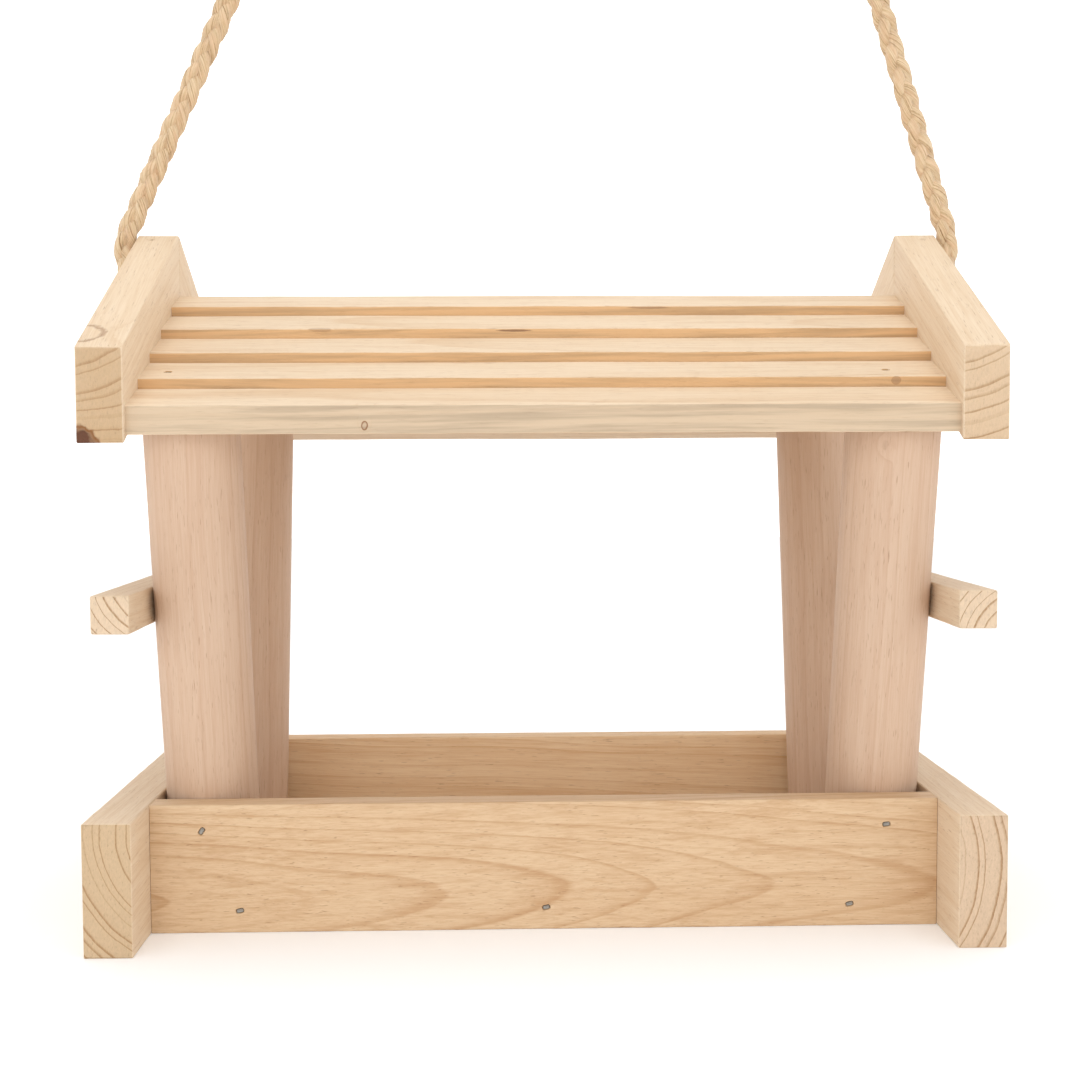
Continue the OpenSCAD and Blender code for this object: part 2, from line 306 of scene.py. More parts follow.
def make_wood_figure():
    """The figure of a log whose pith runs along Z, in millimetres.

    Ring is 0 in early wood and 1 in late wood, Fibre and Streak are fine and broad grain,
    Fleck marks short dark pores, Blotch is slow change of colour, Coarse is sawn end grain."""
    group = new_group(
        "wood_figure",
        [("NodeSocketVector", "Vector", None), ("NodeSocketFloat", "Ring width", 4.0),
         ("NodeSocketFloat", "Waviness", 4.0), ("NodeSocketFloat", "Shift", 0.0)],
        [("NodeSocketFloat", "Ring"), ("NodeSocketFloat", "Fibre"), ("NodeSocketFloat", "Streak"),
         ("NodeSocketFloat", "Fleck"), ("NodeSocketFloat", "Blotch"), ("NodeSocketFloat", "Coarse")])
    n = Nodes(group)
    start, end = n.add("NodeGroupInput").outputs, n.add("NodeGroupOutput")
    place = start["Vector"]

    slow = n.vector("MULTIPLY", place, (1 / 45, 1 / 45, 1 / 130))
    sway = n.vector("SUBTRACT", n.noise(slow, detail=1.5, output=1), (0.5, 0.5, 0.5))
    fine = n.vector("MULTIPLY", place, (1 / 7, 1 / 7, 1 / 60))
    shiver = n.vector("SUBTRACT", n.noise(fine, detail=2, output=1), (0.5, 0.5, 0.5))
    waviness = n.add("ShaderNodeCombineXYZ", {0: start["Waviness"], 1: start["Waviness"], 2: 0.0}).outputs[0]
    bent = n.vector("ADD", place, n.vector("MULTIPLY", sway, waviness))
    bent = n.vector("ADD", bent, n.vector("MULTIPLY", shiver, (0.9, 0.9, 0)))
    from_pith = n.vector("LENGTH", n.vector("MULTIPLY", bent, (1, 1, 0)), output=1)

    years = n.math("DIVIDE", from_pith, start["Ring width"])
    years = n.math("ADD", years, start["Shift"])
    uneven = n.math("MULTIPLY", n.noise_1d(years, 0.55, 2), 2.0)
    years = n.math("ADD", years, uneven)
    in_year = n.math("FRACT", years)
    ring = n.ramp(in_year, [(0.0, 0.0), (0.5, 0.05), (0.75, 0.3), (0.9, 0.95), (0.95, 1.0), (1.0, 0.0)])
    year = n.math("FLOOR", years)
    strength = n.add("ShaderNodeTexWhiteNoise", {"W": year}, noise_dimensions="1D").outputs[0]
    ring = n.math("MULTIPLY", ring, n.math("MULTIPLY_ADD", strength, 0.65, 0.35))

    fibre = n.noise(n.vector("MULTIPLY", bent, (2.4, 2.4, 1 / 16)), detail=3, rough=0.6)
    streak = n.noise(n.vector("MULTIPLY", bent, (0.5, 0.5, 1 / 80)), detail=4, rough=0.6)
    pores = n.noise(n.vector("MULTIPLY", place, (3.2, 3.2, 1 / 5)), detail=1)
    fleck = n.range(pores, 0.66, 0.76)
    blotch = n.noise(n.vector("MULTIPLY", place, (1 / 28, 1 / 28, 1 / 70)), detail=2)
    # the saw pulled the end fibres over to one side
    torn = n.add("ShaderNodeMapping", {"Vector": place, "Rotation": (0, 0, math.radians(35)),
                                       "Scale": (1.9, 0.7, 0.3)}).outputs[0]
    coarse = n.noise(torn, detail=4, rough=0.72)
    for label, value in (("Ring", ring), ("Fibre", fibre), ("Streak", streak), ("Fleck", fleck),
                         ("Blotch", blotch), ("Coarse", coarse)):
        group.links.new(value, end.inputs[label])
    return group


wood_figure = make_wood_figure()

PINE = {
    "pale": {"early": srgb(232, 212, 186), "late": srgb(206, 171, 131), "tint": srgb(222, 198, 167)},
    "warm": {"early": srgb(223, 195, 160), "late": srgb(184, 139, 96), "tint": srgb(211, 176, 137)},
    "sand": {"early": srgb(246, 220, 184), "late": srgb(214, 168, 118), "tint": srgb(236, 202, 160)},
    "rosy": {"early": srgb(214, 187, 163), "late": srgb(192, 154, 126), "tint": srgb(205, 172, 145)},
}


def mark_and_shade_masks(n, in_mm, marks_and_shade):
    """How much a point is in a knot or a spot of painted shade, in its dark rim, and how far the rings bend
    round it.
    """
    body, rim, bend = 0.0, 0.0, 0.0
    for centre, radii, dark, rim_dark in marks_and_shade:
        near = n.vector("DIVIDE", n.vector("SUBTRACT", in_mm, tuple(centre)), tuple(radii))
        ragged = n.math("MULTIPLY_ADD", n.noise(in_mm, 0.4, 2, 0.5), 0.5, -0.25)
        far = n.math("ADD", n.vector("LENGTH", near, output=1), ragged)
        inside = n.math("MULTIPLY", n.range(far, 1.05, 0.7), dark)
        edge = n.math("MULTIPLY", n.range(far, 0.75, 1.0), n.range(far, 1.2, 1.0))
        body = n.math("MAXIMUM", body, inside)
        rim = n.math("MAXIMUM", rim, n.math("MULTIPLY", edge, rim_dark))
        bend = n.math("ADD", bend, n.math("MULTIPLY", n.range(far, 3.0, 0.8), 0.9))
    return body, rim, bend


def wood(name, tone, grain, pith, ring=4.0, wavy=4.0, marks_and_shade=(), end=(208, 176, 138), riser=None, figure=1.0):
    """A wood for one piece. grain is the direction of its fibres, pith a point on the log's
    centre line in millimetres, and end the colour of its end grain. Each knot, or spot of painted shade,
    is (centre in millimetres, radii, darkness, darkness of its rim). riser is the colour of its front,
    with painted shade in it where the front is a step between slats."""
    early, late, tint = [(*PINE[tone][key], 1) for key in ("early", "late", "tint")]
    material = bpy.data.materials.new(name)
    material.use_nodes = True
    tree = material.node_tree
    n = Nodes(tree)
    shader = tree.nodes["Principled BSDF"]
    shader.inputs["Specular IOR Level"].default_value = 0.3

    turn = Vector(grain).normalized().rotation_difference(Vector((0, 0, 1)))
    coordinates = n.add("ShaderNodeTexCoord").outputs["Object"]
    mapping = n.add("ShaderNodeMapping", {"Vector": coordinates, "Scale": (1000, 1000, 1000)})
    mapping.inputs["Rotation"].default_value = turn.to_euler()
    mapping.inputs["Location"].default_value = -(turn @ Vector(pith))
    in_mm = n.vector("SCALE", coordinates)
    in_mm.node.inputs["Scale"].default_value = 1000

    grown = n.add("ShaderNodeGroup", {}, node_tree=wood_figure)
    tree.links.new(mapping.outputs[0], grown.inputs["Vector"])
    grown.inputs["Ring width"].default_value = ring
    grown.inputs["Waviness"].default_value = wavy
    out = grown.outputs
    if marks_and_shade:
        mark_and_shade_body, knot_rim, bend = mark_and_shade_masks(n, in_mm, marks_and_shade)
        tree.links.new(bend, grown.inputs["Shift"])

    normal = n.add("ShaderNodeNewGeometry").outputs["Normal"]
    along = n.math("ABSOLUTE", n.vector("DOT_PRODUCT", normal, tuple(Vector(grain).normalized()), output=1))
    end_grain = n.range(along, 0.75, 0.93)
    side_grain = n.math("SUBTRACT", 1.0, end_grain)

    # planed sides: soft rings, broad streaks, fine fibres and short dark pores
    side = n.mix(n.math("MULTIPLY", out["Blotch"], 0.8), early, tint)
    side = n.mix(n.math("MULTIPLY", n.range(out["Streak"], 0.42, 0.72), 0.42 * figure), side, late)
    side = n.mix(n.math("MULTIPLY", out["Ring"], 0.62 * figure), side, late)
    side = n.mix(n.math("MULTIPLY", n.range(out["Fibre"], 0.42, 0.72), 0.3), side, late)
    side = n.mix(n.math("MULTIPLY", n.range(out["Fibre"], 0.46, 0.3), 0.35), side, early)
    side = n.mix(n.math("MULTIPLY", out["Fleck"], 0.4), side, (*srgb(146, 98, 60), 1))
    if riser:
        # the front faces' own sawn colour; the darker orange of the stepped slats is painted shade
        facing = n.math("ABSOLUTE", n.vector("DOT_PRODUCT", normal, (0, 1, 0), output=1))
        darker = (*srgb(*[c * 0.86 for c in riser]), 1)
        front_face_and_shade = n.mix(n.range(out["Streak"], 0.38, 0.68), (*srgb(*riser), 1), darker)
        side = n.mix(n.math("MULTIPLY", n.range(facing, 0.8, 0.97), 0.85), side, front_face_and_shade)

    # sawn ends: darker, with thin hard rings, pits and torn fibres
    pits = n.range(out["Coarse"], 0.6, 0.72)
    light_end = (*srgb(*[min(255, c * 1.09) for c in end]), 1)
    dark_end = (*srgb(*[c * 0.9 for c in end]), 1)
    ends = n.mix(out["Coarse"], light_end, dark_end)
    broken = n.math("MULTIPLY_ADD", out["Coarse"], 0.9, 0.25)
    ends = n.mix(n.math("MULTIPLY", n.range(out["Ring"], 0.15, 0.75), broken), ends, (*srgb(160, 116, 70), 1))
    ends = n.mix(n.math("MULTIPLY", pits, 0.42), ends, (*srgb(142, 98, 58), 1))
    colour = n.mix(end_grain, side, ends)
    if marks_and_shade:
        # the dark of knots, and the painted shade of a brad's pocket where one is listed
        colour = n.mix(mark_and_shade_body, colour, (*srgb(104, 68, 50), 1))
        colour = n.mix(knot_rim, colour, (*srgb(134, 84, 44), 1))
    tree.links.new(colour, shader.inputs["Base Color"])

    rough = n.math("MULTIPLY_ADD", out["Fibre"], 0.2, 0.52)
    rough = n.math("ADD", rough, n.math("MULTIPLY", end_grain, 0.2))
    tree.links.new(rough, shader.inputs["Roughness"])

    side_height = n.math("MULTIPLY_ADD", out["Fibre"], 0.55, n.math("MULTIPLY", out["Ring"], 0.25))
    side_height = n.math("SUBTRACT", side_height, n.math("MULTIPLY", out["Fleck"], 0.5))
    side_height = n.math("MULTIPLY", side_height, side_grain)
    end_height = n.math("SUBTRACT", n.math("MULTIPLY", out["Coarse"], 3.0), n.math("MULTIPLY", pits, 1.5))
    end_height = n.math("MULTIPLY", end_height, end_grain)
    bump = n.add("ShaderNodeBump", {"Height": n.math("ADD", side_height, end_height),
                                    "Strength": 0.6, "Distance": 0.00025})
    tree.links.new(bump.outputs[0], shader.inputs["Normal"])
    return material


# --- steel and jute ---

def make_brad_steel():
    """Dull zinc-coated wire, scuffed by the driver."""
    material = bpy.data.materials.new("brad_steel")
    material.use_nodes = True
    n = Nodes(material.node_tree)
    shader = material.node_tree.nodes["Principled BSDF"]
    shader.inputs["Metallic"].default_value = 1.0
    place = n.add("ShaderNodeTexCoord").outputs["Object"]
    scuffs = n.noise(place, 900, 3, 0.6)
    colour = n.mix(scuffs, (*srgb(122, 118, 112), 1), (*srgb(176, 172, 164), 1))
    material.node_tree.links.new(colour, shader.inputs["Base Color"])
    material.node_tree.links.new(n.range(scuffs, 0.3, 0.7, 0.38, 0.6), shader.inputs["Roughness"])
    bump = n.add("ShaderNodeBump", {"Height": scuffs, "Strength": 0.4, "Distance": 0.0001})
    material.node_tree.links.new(bump.outputs[0], shader.inputs["Normal"])
    return material


def make_jute(name, along):
    """Jute fibre; along names the mesh attribute that runs along and round each strand."""
    material = bpy.data.materials.new(name)
    material.use_nodes = True
    tree = material.node_tree
    n = Nodes(tree)
    shader = tree.nodes["Principled BSDF"]
    shader.inputs["Specular IOR Level"].default_value = 0.2
    shader.inputs["Sheen Weight"].default_value = 0.25
    shader.inputs["Sheen Roughness"].default_value = 0.5
    lie = n.add("ShaderNodeAttribute", attribute_name=along).outputs["Vector"]
    fibre = n.noise(n.vector("MULTIPLY", lie, (0.11, 1.9, 1.9)), 1.0, 4, 0.7)
    tuft = n.noise(n.vector("MULTIPLY", lie, (0.2, 0.5, 0.5)), 1.0, 2)
    light, mid, deep = srgb(236, 212, 178), srgb(212, 182, 142), srgb(146, 106, 68)
    colour = n.ramp(fibre, [(0.32, deep), (0.45, mid), (0.64, light)])
    colour = n.mix(n.range(tuft, 0.4, 0.7, 0.0, 0.45), colour, (*srgb(226, 186, 150), 1))
    tree.links.new(colour, shader.inputs["Base Color"])
    shader.inputs["Roughness"].default_value = 0.82
    bump = n.add("ShaderNodeBump", {"Height": fibre, "Strength": 0.9, "Distance": 0.0005})
    tree.links.new(bump.outputs[0], shader.inputs["Normal"])
    return material


# --- ropes ---

# the same centrelines as the CAD ropes have, from their holes to their knots
ROPE_LEFT = [
    (-0.1433, 0, 0.2188), (-0.146, 0, 0.2215), (-0.149, 0, 0.2245), (-0.1517, 0, 0.228),
    (-0.1534, 0, 0.2321), (-0.154, 0, 0.2365), (-0.154, 0, 0.239), (-0.1538, 0, 0.2414),
    (-0.1533, 0, 0.2437), (-0.1524, 0, 0.246), (-0.1483, 0, 0.255), (-0.1438, 0, 0.265),
    (-0.1392, 0, 0.275), (-0.1347, 0, 0.285), (-0.1301, 0, 0.295), (-0.1256, 0, 0.305),
    (-0.121, 0, 0.315), (-0.1165, 0, 0.325), (-0.1119, 0, 0.335), (-0.1073, 0, 0.345),
]
ROPE_RIGHT = [
    (0.1433, 0, 0.2188), (0.146, 0, 0.2215), (0.149, 0, 0.2245), (0.1517, 0, 0.228),
    (0.1534, 0, 0.2321), (0.154, 0, 0.2365), (0.154, 0, 0.2405), (0.1538, 0, 0.2429),
    (0.1533, 0, 0.2455), (0.1504, 0, 0.255), (0.1473, 0, 0.265), (0.1443, 0, 0.275),
    (0.1412, 0, 0.285), (0.1382, 0, 0.295), (0.1351, 0, 0.305), (0.132, 0, 0.315),
    (0.129, 0, 0.325), (0.1259, 0, 0.335), (0.1228, 0, 0.345),
]
# the place in each list where the rope leaves its hole
MOUTH = 2
# the eye above the knot, as the CAD has it: Z runs on along the rope
EYE = [
    (0.004, 0, 0.016), (0.0055, 0, 0.024), (0.009, 0, 0.033), (0.0135, 0, 0.042),
    (0.0165, 0, 0.053), (0.0155, 0, 0.064), (0.0095, 0, 0.073), (0, 0, 0.0765),
    (-0.0095, 0, 0.073), (-0.0155, 0, 0.064), (-0.0165, 0, 0.053), (-0.0135, 0, 0.042),
    (-0.009, 0, 0.033), (-0.0055, 0, 0.024), (-0.004, 0, 0.016),
]
KNOT_L = 20 * MM
KNOT_R = 10.5 * MM
# a strand comes back to the same side of the plait after this length
PLAIT_PITCH = 29 * MM
STRAND_R = ROPE_D * 0.29


def smooth_line(points, step):
    """The points joined by a smooth curve, then spaced step apart."""
    points = [Vector(p) for p in points]
    padded = [2 * points[0] - points[1], *points, 2 * points[-1] - points[-2]]
    fine = []
    for a, b, c, d in zip(padded, padded[1:], padded[2:], padded[3:]):
        for k in range(12):
            t = k / 12
            fine.append(0.5 * (2 * b + (c - a) * t + (2 * a - 5 * b + 4 * c - d) * t ** 2
                               + (3 * b - a - 3 * c + d) * t ** 3))
    fine.append(points[-1])
    lengths = [0.0]
    for a, b in zip(fine, fine[1:]):
        lengths.append(lengths[-1] + (b - a).length)
    count = max(2, round(lengths[-1] / step))
    out, j = [], 0
    for k in range(count + 1):
        want = lengths[-1] * k / count
        while j < len(lengths) - 2 and lengths[j + 1] < want:
            j += 1
        span = lengths[j + 1] - lengths[j]
        out.append(fine[j].lerp(fine[j + 1], (want - lengths[j]) / span if span else 0))
    return out, lengths[-1]


def frames_along(line, side=Vector((0, 1, 0))):
    """(point, tangent, side, up) at each point of a line, with no sudden turns."""
    out = []
    for i, point in enumerate(line):
        ahead = (line[min(i + 1, len(line) - 1)] - line[max(i - 1, 0)]).normalized()
        side = (side - ahead * side.dot(ahead)).normalized()
        out.append((point, ahead, side, ahead.cross(side)))
    return out


def plait(line, width, pitch, phase=0.0):
    """The centrelines of three strands plaited round a line."""
    step = (line[1] - line[0]).length
    strands = []
    for k in range(3):
        strand = []
        for i, (point, _, side, up) in enumerate(frames_along(line)):
            turn = 2 * math.pi * (i * step / pitch + k / 3) + phase
            strand.append(point + up * (width * 0.215 * math.sin(turn))
                          + side * (width * 0.13 * math.sin(2 * turn)))
        strands.append(strand)
    return strands


def strand_tube(centre, radius, seed, taper=(0.0, 0.0), sides=18):
    """Points, faces and lie of one strand: a bundle of twisted yarns, uneven along its length.

    lie is a point's place along the strand and round it, turning with the yarns' twist."""
    verts, lies = [], []
    count = len(centre)
    step = (centre[1] - centre[0]).length
    for i, (point, _, side, up) in enumerate(frames_along(centre)):
        edge = min(1.0, (i + 1) / (count * taper[0]) if taper[0] else 1.0,
                   (count - i) / (count * taper[1]) if taper[1] else 1.0)
        gone = i * step * 1000
        thick = 1 + 0.09 * noise.noise(Vector((gone * 0.16, seed * 5.0, 0)))
        for k in range(sides):
            angle = 2 * math.pi * k / sides
            twisted = angle + gone * 0.28
            lobes = 0.035 * math.cos(5 * twisted) + 0.02 * math.cos(11 * twisted)
            rough = 0.07 * noise.noise(Vector((gone * 0.3, math.cos(twisted) * 2.4,
                                               math.sin(twisted) * 2.4 + seed * 9)))
            r = radius * (thick + lobes + rough) * math.sqrt(edge)
            verts.append(point + side * (r * math.cos(angle)) + up * (r * math.sin(angle)))
            lies.append((gone + seed * 97, math.cos(twisted) * radius * 1000,
                         math.sin(twisted) * radius * 1000 + seed * 23))
    faces = [[i * sides + k, i * sides + (k + 1) % sides, (i + 1) * sides + (k + 1) % sides,
              (i + 1) * sides + k] for i in range(count - 1) for k in range(sides)]
    faces.append(list(reversed(range(sides))))
    faces.append([(count - 1) * sides + k for k in range(sides)])
    return verts, faces, lies


def fibres(line, radius, count, seed):
    """Loose hairs that stand off a rope: thin three-sided spikes, each a closed solid."""
    rng = random.Random(seed)
    laid = frames_along(line)
    verts, faces, lies = [], [], []
    for _ in range(count):
        point, ahead, side, up = laid[rng.randrange(2, len(laid) - 2)]
        angle = rng.uniform(0, 2 * math.pi)
        out = side * math.cos(angle) + up * math.sin(angle)
        lean = (ahead * rng.choice((-1, 1)) * rng.uniform(0.6, 2.2) + out * rng.uniform(0.15, 0.7)
                + ahead.cross(out) * rng.uniform(-0.8, 0.8)).normalized()
        root = point + out * radius * rng.uniform(0.72, 0.92)
        reach = rng.uniform(1.5, 4.5) * MM
        thick = rng.uniform(0.035, 0.07) * MM
        across = lean.cross(out).normalized()
        other = lean.cross(across)
        base = len(verts)
        for share, wide in ((0, 1.0), (0.5, 0.8), (1.0, 0.25)):
            middle = root + lean * reach * share - out * (share ** 2) * reach * 0.18
            for k in range(3):
                turn = 2 * math.pi * k / 3
                verts.append(middle + (across * math.cos(turn) + other * math.sin(turn)) * thick * wide)
                lies.append((share * 2 + angle, k, seed))
        for ring in (0, 3):
            faces += [[base + ring + k, base + ring + (k + 1) % 3, base + ring + 3 + (k + 1) % 3,
                       base + ring + 3 + k] for k in range(3)]
        faces += [[base + 2, base + 1, base], [base + 6, base + 7, base + 8]]
    return verts, faces, lies


def joined(name, parts, material):
    """One object from several (points, faces, lies)."""
    verts, faces, lies = [], [], []
    for part_verts, part_faces, part_lies in parts:
        base = len(verts)
        verts += part_verts
        faces += [[base + k for k in face] for face in part_faces]
        lies += part_lies
    mesh = bpy.data.meshes.new(name)
    mesh.from_pydata([tuple(v) for v in verts], [], faces)
    lie = mesh.attributes.new("lie", "FLOAT_VECTOR", "POINT")
    lie.data.foreach_set("vector", [c for triple in lies for c in triple])
    mesh.materials.append(material)
    mesh.polygons.foreach_set("use_smooth", [True] * len(mesh.polygons))
    obj = bpy.data.objects.new(name, mesh)
    bpy.context.scene.collection.objects.link(obj)
    return obj


jute = make_jute("jute", "lie")


def make_rope(node, route, seed):
    """A plaited rope with loose hairs, from its hole to its knot."""
    line, length = smooth_line(route, 0.45 * MM)
    strands = plait(line, ROPE_D, PLAIT_PITCH, seed)
    parts = [strand_tube(s, STRAND_R, seed + k) for k, s in enumerate(strands)]
    rope = joined(node + "_strands", parts, jute)
    hairs = joined(node + "_hairs", [fibres(line, ROPE_D / 2, 420, seed)], jute)
    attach(rope, "root")
    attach(hairs, "root")
    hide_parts(node)
    eye = make_eye(node.replace("rope", "rope_eye"), route, seed)


def make_eye(node, route, seed):
    """The hanging eye: the rope doubled back and wound round itself in a knot."""
    end, before = Vector(route[-1]), Vector(route[-2])
    along = (end - before).normalized()
    side = Vector((0, 1, 0))
    basis = Matrix((side.cross(along), side, along)).transposed().to_4x4()
    place = Matrix.Translation(end) @ basis
    loop, _ = smooth_line([place @ Vector(p) for p in EYE], 0.45 * MM)
    parts = [strand_tube(s, STRAND_R, seed + 3 + k)
             for k, s in enumerate(plait(loop, ROPE_D, PLAIT_PITCH, seed + 1))]
    turns, wraps = 2.6, []
    for k in range(150):
        share = k / 149
        angle = 2 * math.pi * turns * share + 0.6
        height = KNOT_L * (0.22 + 0.56 * share)
        reach = KNOT_R - ROPE_D * 0.46
        wraps.append(place @ Vector((reach * math.cos(angle), reach * math.sin(angle), height)))
    parts += [strand_tube(s, STRAND_R * 0.95, seed + 6 + k)
              for k, s in enumerate(plait(wraps, ROPE_D * 0.92, 17 * MM, seed))]
    core = [place @ Vector((0, 0, KNOT_L * share)) for share in [k / 30 for k in range(31)]]
    parts.append(strand_tube(core, ROPE_D * 0.62, seed + 9, taper=(0.1, 0.1)))
    eye = joined(node + "_strands", parts, jute)
    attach(eye, "root")
    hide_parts(node)
    return eye


make_rope("rope_left", ROPE_LEFT, 1)
make_rope("rope_right", ROPE_RIGHT, 2)


# --- brads ---

BRAD_NODES = ["tray_rail_brads", "tray_floor_brads", "tray_post_brads", "perch_brads",
              "roof_rail_brads", "roof_slat_brads", "ridge_brads"]


def brads_of(node):
    """(middle of the head's top, outward direction, head's long direction, length) of each brad."""
    out = []
    for points in islands(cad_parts[node]):
        centre = sum(points, Vector()) / len(points)
        far = max(points, key=lambda p: (p - centre).length)
        tip = [p for p in points if (p - far).length < 2 * MM]
        head = [p for p in points if (p - far).length > 15 * MM]
        outward = (sum(head, Vector()) / len(head) - sum(tip, Vector()) / len(tip)).normalized()
        top = max(p.dot(outward) for p in points)
        length = top - min(p.dot(outward) for p in points)
        face = [p for p in points if p.dot(outward) > top - 0.05 * MM]
        middle = sum(face, Vector()) / len(face)
        corners = sorted(face, key=lambda p: (p - middle).length)[-4:]
        sides = sorted([a - b for i, a in enumerate(corners) for b in corners[i + 1:]],
                       key=lambda side: side.length)
        out.append((middle, outward, sides[len(sides) // 2].normalized(), length))
    return out


def slot_shape(half_long, half_short, corners=4):
    """Points round an oblong with rounded ends."""
    r = half_short * 0.75
    points = []
    for cx, cy, start in ((1, 1, 0), (-1, 1, 90), (-1, -1, 180), (1, -1, 270)):
        for k in range(corners):
            angle = math.radians(start + 90 * k / (corners - 1))
            points.append((cx * (half_long - r) + r * math.cos(angle),
                           cy * (half_short - r) + r * math.sin(angle)))
    return points


def stacked(shapes):
    """Points and faces of a solid from rings [(outline, height)], closed at both ends."""
    verts, n = [], len(shapes[0][0])
    for outline, height in shapes:
        verts += [Vector((x, y, height)) for x, y in outline]
    faces = [[i * n + k, i * n + (k + 1) % n, (i + 1) * n + (k + 1) % n, (i + 1) * n + k]
             for i in range(len(shapes) - 1) for k in range(n)]
    faces.append(list(reversed(range(n))))
    faces.append([(len(shapes) - 1) * n + k for k in range(n)])
    return verts, faces


def placed(verts, middle, outward, long_side):
    """Points drawn round the origin, moved to middle with Z along outward and X along long_side."""
    short_side = outward.cross(long_side).normalized()
    long_side = short_side.cross(outward)
    return [middle + long_side * v.x + short_side * v.y + outward * v.z for v in verts]


def make_brads(node):
    """The brads of one node: a dished oblong head on a wire shank."""
    shank = [(0.7 * MM * math.cos(2 * math.pi * k / 16), 0.7 * MM * math.sin(2 * math.pi * k / 16))
             for k in range(16)]
    tip = [(x * 0.35, y * 0.35) for x, y in shank]
    verts, faces = [], []
    for middle, outward, long_side, length in brads_of(node):
        head = [(shank, -0.62 * MM), (slot_shape(1.1 * MM, 0.55 * MM), -0.6 * MM),
                (slot_shape(1.2 * MM, 0.65 * MM), -0.45 * MM), (slot_shape(1.2 * MM, 0.65 * MM), -0.12 * MM),
                (slot_shape(1.1 * MM, 0.56 * MM), 0.0), (slot_shape(0.7 * MM, 0.3 * MM), -0.06 * MM)]
        solid = stacked([(tip, -length), (shank, -length + 1.5 * MM), *head])
        base = len(verts)
        verts += placed(solid[0], middle, outward, long_side)
        faces += [[base + k for k in face] for face in solid[1]]
    obj = mesh_object(node + "_steel", verts, faces, brad_steel)
    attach(obj, "root")
    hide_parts(node)


def pocket_cutter(node, keep):
    """One mesh of the pockets that a node's brads have in a piece: keep(head's middle) picks them."""
    verts, faces = [], []
    for middle, outward, long_side, _ in brads_of(node):
        if not keep(middle):
            continue
        solid = stacked([(slot_shape(1.3 * MM, 0.75 * MM), -0.7 * MM),
                         (slot_shape(1.32 * MM, 0.78 * MM), 0.0),
                         (slot_shape(1.5 * MM, 0.95 * MM), 0.42 * MM),
                         (slot_shape(2.0 * MM, 1.4 * MM), 1.0 * MM)])
        base = len(verts)
        verts += placed(solid[0], middle, outward, long_side)
        faces += [[base + k for k in face] for face in solid[1]]
    if not verts:
        return None
    return mesh_object("cutter", verts, faces)


brad_steel = make_brad_steel()
for brad_node in BRAD_NODES:
    make_brads(brad_node)


# --- wooden pieces ---

# the nodes whose brads go into each kind of piece
BRADS_IN = {
    "tray_rail": ["tray_rail_brads"],
    "tray_board": ["tray_floor_brads", "tray_post_brads"],
    "perch": ["perch_brads"],
    "roof_rail": ["roof_rail_brads", "ridge_brads"],
    "roof_slat": ["roof_slat_brads"],
}


def finish_wood(obj, node, material, family=None):
    """Cuts the brad pockets, gives the piece its wood and puts it on the frame in its node's place."""
    low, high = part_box(node)
    reach = 1.5 * MM

    def is_near(point):
        return all(low[k] - reach < point[k] < high[k] + reach for k in range(3))

    cutters = [pocket_cutter(brads, is_near) for brads in BRADS_IN.get(family, [])]
    cut(obj, [c for c in cutters if c])
    obj.data.materials.clear()
    obj.data.materials.append(material)
    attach(obj, "root")
    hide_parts(node)


def centre_of(node):
    """The middle of a CAD node's box."""
    low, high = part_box(node)
    return (Vector(low) + Vector(high)) / 2


def along_x(a, b, s):
    """Puts an outline drawn in Y and Z at s along X."""
    return (s, a, b)


def along_y(a, b, s):
    """Puts an outline drawn in X and Z at s along Y."""
    return (a, s, b)


def rectangle(a0, a1, b0, b1):
    """The corners of a rectangle, anticlockwise."""
    return [(a0, b0), (a1, b0), (a1, b1), (a0, b1)]


def bar(node, axis, material, family, radius=0.6 * MM, end_radius=None):
    """A straight square-cut bar that fills its CAD node's box, along X or Y."""
    low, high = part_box(node)
    if axis == "x":
        corners = rectangle(low[1], high[1], low[2], high[2])
        obj = eased_prism(node + "_wood", corners, low[0], high[0], along_x, radius, end_radius)
    else:
        corners = rectangle(low[0], high[0], low[2], high[2])
        obj = eased_prism(node + "_wood", corners, low[1], high[1], along_y, radius, end_radius)
    finish_wood(obj, node, material, family)


def make_tray():
    """The two end rails, the two boards and the floor panel."""
    # the rings in the left rail's end curve round a pith off its inner side
    rails = {"left": ((-107, 0, 43), (208, 180, 145)), "right": ((98, 0, 28), (216, 189, 160))}
    for side, (pith, end) in rails.items():
        grain = (0.02, 1, 0.015)
        material = wood("tray_rail_" + side, "pale", grain, pith, 3.4, 3, end=end, figure=0.6)
        bar("tray_rail_" + side, "y", material, "tray_rail", 0.4 * MM)
    for side in ("front", "rear"):
        node = "tray_board_" + side
        c = centre_of(node) * 1000
        if side == "front":
            tone, grain, pith, ring = "warm", (1, 0.085, 0.01), (30, c.y + 19, c.z - 9), 3.6
        else:
            tone, grain, pith, ring = "sand", (1, 0.01, -0.03), (0, c.y + 30, c.z - 26), 4.2
        material = wood(node, tone, grain, pith, ring, 6)
        bar(node, "x", material, "tray_board", 0.4 * MM, 0.25 * MM)
    c = centre_of("tray_floor") * 1000
    material = wood("tray_floor", "warm", (1, 0.01, 0.05), (c.x, c.y + 20, c.z - 60), 6, 9)
    bar("tray_floor", "x", material, None, 0.3 * MM)


def make_perches():
    """The square bar across each pair of posts."""
    for side, sign in (("left", -1), ("right", 1)):
        node = "perch_" + side
        c = centre_of(node) * 1000
        pith = (c.x + 18, c.y, c.z - 9 * sign)
        material = wood(node, "pale", (0.02, 1, 0.03 * sign), pith, 3.0, 3, end=(226, 201, 172), figure=0.6)
        bar(node, "y", material, "perch", 0.5 * MM)


